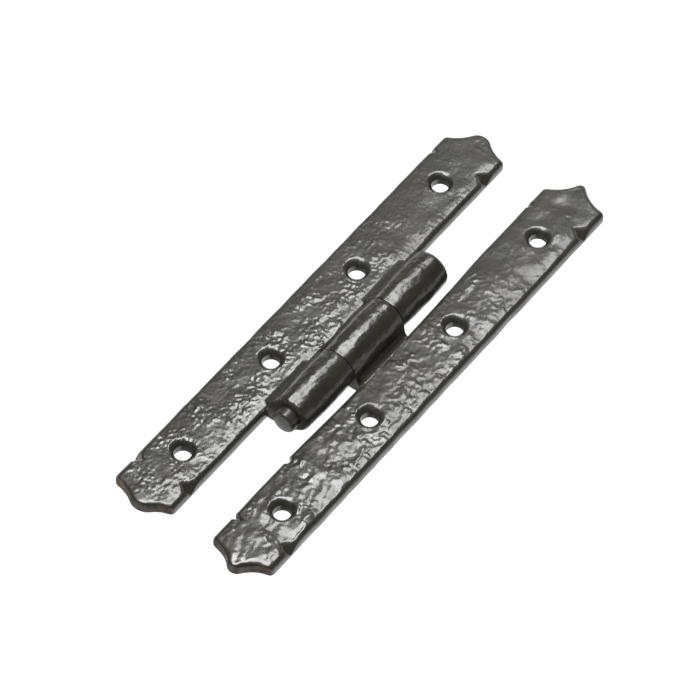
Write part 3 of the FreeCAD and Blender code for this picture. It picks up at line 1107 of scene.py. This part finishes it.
@dataclass
class HingeLeaf:
    """A whole leaf: plate and knuckles in one casting, bored for the pin."""

    node: str
    body: str
    plate: LeafPlate
    knuckles: tuple[Knuckle, ...]
    bore_radius: float
    pin_height: float = 7.0
    bore_reach: float = 60.0
    # Rub on the upper edges, on the ends from where they start over their length, and at the rusty places.
    edge_rub: float = 0.55
    end_rub: float = 0.25
    end_start: float = 78.0
    end_length: float = 14.0
    rust: float = 0.7
    # How pebbled the plate's sides and back and the knuckles are.
    side_skin: float = 0.35
    knuckle_skin: float = 0.6
    # Painted light: a lighter bare tone on faces that look towards the near end, and what the plate's own
    # have more.
    near_face_painted_light: float = 0.62
    plate_painted_light_more: float = 0.08
    # How satin the near end is beside the far one, and the angle past which an edge is sharp.
    near_satin: float = 0.5
    sharp: float = 50.0

    def build(self) -> bpy.types.Object:
        """Joins the plate and the knuckles into one closed mesh and bores it.

        Returns:
            The leaf.
        """
        leaf = self.plate.build(self.node + "_casting")
        tools = []
        for place, knuckle in enumerate(self.knuckles):
            tools.append((knuckle.build("knuckle_%d" % place), "UNION"))
        radii = self.bore_radius * np.array([0.0, 1.0, 1.0, 0.0])
        along = self.bore_reach * np.array([-1.0, -1.0, 1.0, 1.0])
        tools.append((round_bar("bore", radii, along, self.pin_height), "DIFFERENCE"))
        for tool, operation in tools:
            joined = leaf.modifiers.new(operation.lower(), "BOOLEAN")
            joined.operation = operation
            joined.object = tool
            joined.solver = "MANIFOLD"
        graph = bpy.context.evaluated_depsgraph_get()
        mesh = bpy.data.meshes.new_from_object(leaf.evaluated_get(graph))
        leaf.modifiers.clear()
        leaf.data = mesh
        for tool, _ in tools:
            bpy.data.objects.remove(tool)
        return leaf

    def dress(self, leaf: bpy.types.Object, material: bpy.types.Material) -> None:
        """Marks where hands rub the casting, painted light and pebbled skin, and gives it its finish.

        The rub is strongest on the outline's rounded upper edge and fades over two millimetres. The front is
        pebbled as it is hammered, the sides and back less, and the knuckles evenly. The plate is satin, most
        at its far end, and the knuckles are glossy. Faces that look towards the near end are matt, and a
        lighter bare tone is painted on them, standing in for the light they catch.

        Args:
            leaf: The leaf's object.
            material: Its finish.
        """
        plate = self.plate
        x, y, z = read_points(leaf.data).T
        x = x * plate.side.value
        inner, outer = plate.edges(y)
        to_edge = np.minimum(np.abs(x - inner), np.abs(outer - x))
        ends = np.maximum(np.abs(y) - self.end_start, 0.0) / self.end_length
        rub_and_painted_light = ease(1.6, 0.2, to_edge) * ease(1.5, 3.2, z) * self.edge_rub + self.end_rub * ends
        for place in plate.rusty_places:
            rub_and_painted_light = rub_and_painted_light + self.rust * ease(6.0, 1.0, np.hypot(x - outer, y - place)) * ease(0.2, 1.0, z)
        on_plate = ease(-0.8, 0.4, x - inner)
        on_front = ease(plate.thickness - 1.6, plate.thickness - 0.5, z)
        hammered = plate.face.strength(x, y) * plate.calm(x, y, np.minimum(x - inner, outer - x))
        plate_skin = self.side_skin + (1.0 - self.side_skin) * plate.face.pebbled * on_front * hammered
        skin = on_plate * plate_skin + self.knuckle_skin * (1.0 - on_plate)
        normals = np.empty(len(leaf.data.vertices) * 3, np.float32)
        leaf.data.vertex_normals.foreach_get("vector", normals)
        # Faces looking towards the near end are matt and get a painted lighter tone for the light they catch.
        matt = ease(0.45, 0.8, -normals.reshape(-1, 3)[:, 1].astype(float))
        rub_and_painted_light = np.clip(rub_and_painted_light + (self.near_face_painted_light + self.plate_painted_light_more * on_plate) * matt, 0.0, 1.0)
        satin = on_plate * (self.near_satin + (1.0 - self.near_satin) * ease(-50.0, 50.0, y))
        give_finish(leaf, material, (rub_and_painted_light, skin, satin, matt), self.sharp)
        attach(leaf, self.body)
        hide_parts(self.node)


@dataclass
class HingePin:
    """The fixed pin, with a hammered dome on its proud near end."""

    node: str = "hinge_pin"
    body: str = "fixed_leaf"
    radius: float = 3.9
    near_end: float = -41.7
    far_end: float = 34.3
    crown: float = 0.5
    edge: float = 1.0
    height: float = 7.0
    dome_rub_and_painted_light: float = 0.75
    skin: float = 0.6
    satin: float = 0.6
    sharp: float = 40.0

    def build(self) -> bpy.types.Object:
        """Turns the pin's profile: a shallow dome with a rounded edge, the straight shank and a flat far end.

        Returns:
            The pin.
        """
        radii = self.radius * np.sin(np.linspace(0.0, np.pi / 2, 36))
        dome = self.near_end + self.crown * (radii / self.radius) ** 2
        dome = dome + rounded_off(self.radius - radii, self.edge)
        shank = np.linspace(dome[-1], self.far_end, 60)[1:]
        radius = np.concatenate([radii, np.full(len(shank), self.radius), [0.0]])
        along = np.concatenate([dome, shank, [self.far_end]])
        return round_bar("hinge_pin_bar", radius, along, self.height)

    def dress(self, pin: bpy.types.Object, material: bpy.types.Material) -> None:
        """Marks the dome, rubbed and painted lighter grey as a reflection of the floor, and gives the pin its
        finish.

        Args:
            pin: The pin's object.
            material: Its finish.
        """
        y = read_points(pin.data)[:, 1]
        # The dome's lighter grey is partly rubbed steel and partly a painted reflection of the floor.
        rub_and_painted_light = self.dome_rub_and_painted_light * ease(self.near_end + 2.2, self.near_end + 0.2, y)
        none = np.zeros_like(rub_and_painted_light)
        give_finish(pin, material, (rub_and_painted_light, none + self.skin, none + self.satin, none), self.sharp)
        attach(pin, self.body)
        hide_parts(self.node)


@dataclass
class Studio:
    """The white floor, the soft lights and the camera."""

    azimuth: float = 36.7
    elevation: float = 51.52
    distance: float = 1600.0
    focal_pixels: float = 5266.1
    image_pixels: float = 700.0
    sensor_width: float = 36.0
    target: tuple[float, float, float] = (-3.91, -2.21, 0.0)
    floor_level: float = -24.0
    floor_half: float = 3000.0
    floor_grey: float = 0.15
    room_glow: float = 0.13

    def floor(self) -> None:
        """Lays a white floor that glows, as paper lit from behind does, and is clear from below.

        It lies low enough for a leaf to swing straight down over it.
        """
        span = np.array([[-1, -1], [1, -1], [1, 1], [-1, 1]], float) * self.floor_half
        points = np.concatenate([span, np.full((4, 1), self.floor_level)], axis=1)
        floor = put_mesh("floor", points, [np.array([[0, 1, 2, 3]])])
        paper = bpy.data.materials.new("white_paper")
        paper.use_nodes = True
        sketch = NodeSketch(paper.node_tree)
        matt = sketch.add("ShaderNodeBsdfPrincipled")
        grey = (self.floor_grey, self.floor_grey, self.floor_grey, 1.0)
        sketch.wire(matt, {"Base Color": grey, "Roughness": 0.9})
        sketch.wire(matt, {"Emission Color": WHITE, "Emission Strength": 1.0})
        clear = sketch.add("ShaderNodeBsdfTransparent")
        behind = sketch.add("ShaderNodeNewGeometry").outputs["Backfacing"]
        mix = sketch.add("ShaderNodeMixShader")
        sketch.wire(mix, {0: behind, 1: matt.outputs["BSDF"], 2: clear.outputs["BSDF"]})
        end = sketch.add("ShaderNodeOutputMaterial")
        sketch.wire(end, {"Surface": mix.outputs["Shader"]})
        floor.data.materials.append(paper)

    def softbox(self, name: str, toward: tuple[float, float, float], far_off: float,
                size: tuple[float, float], power: float) -> None:
        """Hangs a rectangular soft light that faces the hinge.

        Args:
            name: The light's name.
            toward: The direction from the hinge to the light.
            far_off: Its distance in metres.
            size: Its width across the hinge, and its length along it or a low light's height, in metres.
            power: Its power in watts.
        """
        data = bpy.data.lights.new(name, "AREA")
        data.shape = "RECTANGLE"
        data.size, data.size_y = size
        data.energy = power
        light = bpy.data.objects.new(name, data)
        direction = Vector(toward).normalized()
        light.location = direction * far_off
        level = Vector((0.0, 0.0, -1.0)) if abs(direction.z) < 0.5 else Vector((0.0, 1.0, 0.0))
        across = level.cross(direction).normalized()
        along = direction.cross(across)
        light.rotation_mode = "QUATERNION"
        light.rotation_quaternion = Matrix((across, along, direction)).transposed().to_quaternion()
        bpy.context.scene.collection.objects.link(light)

    def lights(self) -> None:
        """Hangs a long box overhead on the left, a small one beyond it and a low far wall, in a dim room."""
        self.softbox("overhead_strip", (-0.208, -0.018, 0.978), far_off=1.5, size=(0.475, 1.33), power=27.5)
        self.softbox("far_box", (-0.153, 0.477, 0.866), far_off=1.5, size=(0.4, 0.33), power=4.2)
        self.softbox("far_wall", (-0.35, 0.9, 0.28), far_off=2.5, size=(3.2, 1.0), power=9.0)
        world = bpy.data.worlds.new("room")
        world.use_nodes = True
        backdrop = world.node_tree.nodes["Background"]
        backdrop.inputs["Color"].default_value = WHITE
        backdrop.inputs["Strength"].default_value = self.room_glow
        bpy.context.scene.world = world
        bpy.context.scene.view_settings.view_transform = "Standard"

    def camera(self) -> None:
        """Sets the camera at the photograph's viewing angle, for a square image."""
        data = bpy.data.cameras.new("camera")
        data.sensor_width = self.sensor_width
        data.lens = self.focal_pixels / self.image_pixels * self.sensor_width
        data.clip_start, data.clip_end = 0.05, 50.0
        camera = bpy.data.objects.new("camera", data)
        turn, rise = math.radians(self.azimuth), math.radians(self.elevation)
        back = Vector((math.sin(turn) * math.cos(rise), -math.cos(turn) * math.cos(rise), math.sin(rise)))
        camera.location = (Vector(self.target) + back * self.distance) * MM
        camera.rotation_mode = "QUATERNION"
        camera.rotation_quaternion = (-back).to_track_quat("-Z", "Y")
        bpy.context.scene.collection.objects.link(camera)
        bpy.context.scene.camera = camera


def hinge_leaves() -> tuple[HingeLeaf, HingeLeaf]:
    """Sets out the two leaves with their own ends, faces and knuckles.

    Returns:
        The outer-knuckle leaf and the centre-knuckle leaf.
    """
    left_noise, right_noise = CastNoise(11), CastNoise(23)
    near_span, centre_span, far_span = (-37.7, -14.2), (-13.7, 10.7), (11.2, 34.7)
    deep = Nick(depth=3.9, foot=0.8, lip=1.0)
    shallow = Nick(depth=2.5, foot=1.4, lip=0.3)
    left = LeafPlate(
        side=Side.LEFT,
        gap=1.3,
        near=ScallopedEnd(inner_shoulder=-0.7, outer_shoulder=0.3, tip_reach=3.8,
                          tip_radius=6.2, tip_offset=-0.6),
        far=ScallopedEnd(inner_shoulder=0.0, outer_shoulder=-2.6, tip_reach=4.5,
                         tip_radius=4.5, tip_offset=0.2),
        face=HammeredFace(left_noise, swell_height=0.16, lump_height=0.16, flow_height=0.0, smooth_far=0.65,
                          grain=1.4, pebbled=1.0),
        relief_depth=0.0,
        bite_depth=0.0,
        rusty_places=(-86.5, -75.0),
        knuckle_spans=(near_span, far_span),
        inner_nicks=(deep, deep),
        outer_nicks=(Nick(depth=3.6, foot=0.8, lip=0.3), shallow),
    )
    right = LeafPlate(
        side=Side.RIGHT,
        gap=0.1,
        near=ScallopedEnd(inner_shoulder=0.9, outer_shoulder=-0.5, tip_reach=5.4,
                          tip_radius=3.3, tip_offset=0.0),
        far=ScallopedEnd(inner_shoulder=-1.3, outer_shoulder=1.5, tip_reach=6.6,
                         tip_radius=1.9, tip_offset=-1.1),
        face=HammeredFace(right_noise, swell_height=0.2, lump_height=0.16, flow_height=0.13, smooth_far=0.72,
                          grain=1.9, pebbled=0.45),
        relief_depth=1.0,
        bite_depth=1.1,
        knuckle_spans=(centre_span,),
        web_foot=9.6,
        web_landing=1.2,
        inner_nicks=(Nick(depth=2.6, foot=2.2, lip=0.6, notch=2.1), shallow),
        outer_nicks=(deep, deep),
    )
    outer_knuckles = (
        Knuckle(Side.LEFT, near_span, left_noise, round_near=1.6, round_far=0.15),
        Knuckle(Side.LEFT, far_span, left_noise, round_near=0.15, round_far=1.6),
    )
    centre_knuckle = Knuckle(Side.RIGHT, centre_span, right_noise, round_near=0.15, round_far=0.25,
                             fillet=3.0, inner_edge=7.1)
    return (HingeLeaf("outer_knuckle_leaf", "fixed_leaf", left, outer_knuckles, bore_radius=3.91),
            HingeLeaf("centre_knuckle_leaf", "swing_leaf", right, (centre_knuckle,), bore_radius=3.96))


def main() -> None:
    """Builds and dresses the hinge, logs each piece's count of faces and sets the studio round it."""
    logging.basicConfig(level=logging.INFO, format="%(name)s: %(message)s")
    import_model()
    effects = FinishEffects()
    lacquer = IronFinish(
        name="black_lacquered_iron",
        lacquer=(0.0155, 0.0148, 0.0095, 1.0),
        warm=(0.024, 0.022, 0.0145, 1.0),
        bare=(0.105, 0.078, 0.062, 1.0),
        gloss_roughness=0.33,
        satin_roughness=0.47,
        coat=1.0,
        coat_roughness=0.16,
        pebbles=800.0,
        bump=0.0002,
    ).material(effects)
    steel = IronFinish(
        name="blackened_pin_steel",
        lacquer=(0.018, 0.0175, 0.016, 1.0),
        warm=(0.03, 0.028, 0.025, 1.0),
        bare=(0.16, 0.155, 0.145, 1.0),
        gloss_roughness=0.28,
        satin_roughness=0.42,
        coat=0.4,
        coat_roughness=0.2,
        pebbles=600.0,
        bump=0.00016,
    ).material(effects)
    for leaf in hinge_leaves():
        made = leaf.build()
        leaf.dress(made, lacquer)
        LOG.info("%s: %d faces", made.name, len(made.data.polygons))
    pin = HingePin()
    bar = pin.build()
    pin.dress(bar, steel)
    LOG.info("%s: %d faces", bar.name, len(bar.data.polygons))
    studio = Studio()
    studio.floor()
    studio.lights()
    studio.camera()


if __name__ == "__main__":
    main()
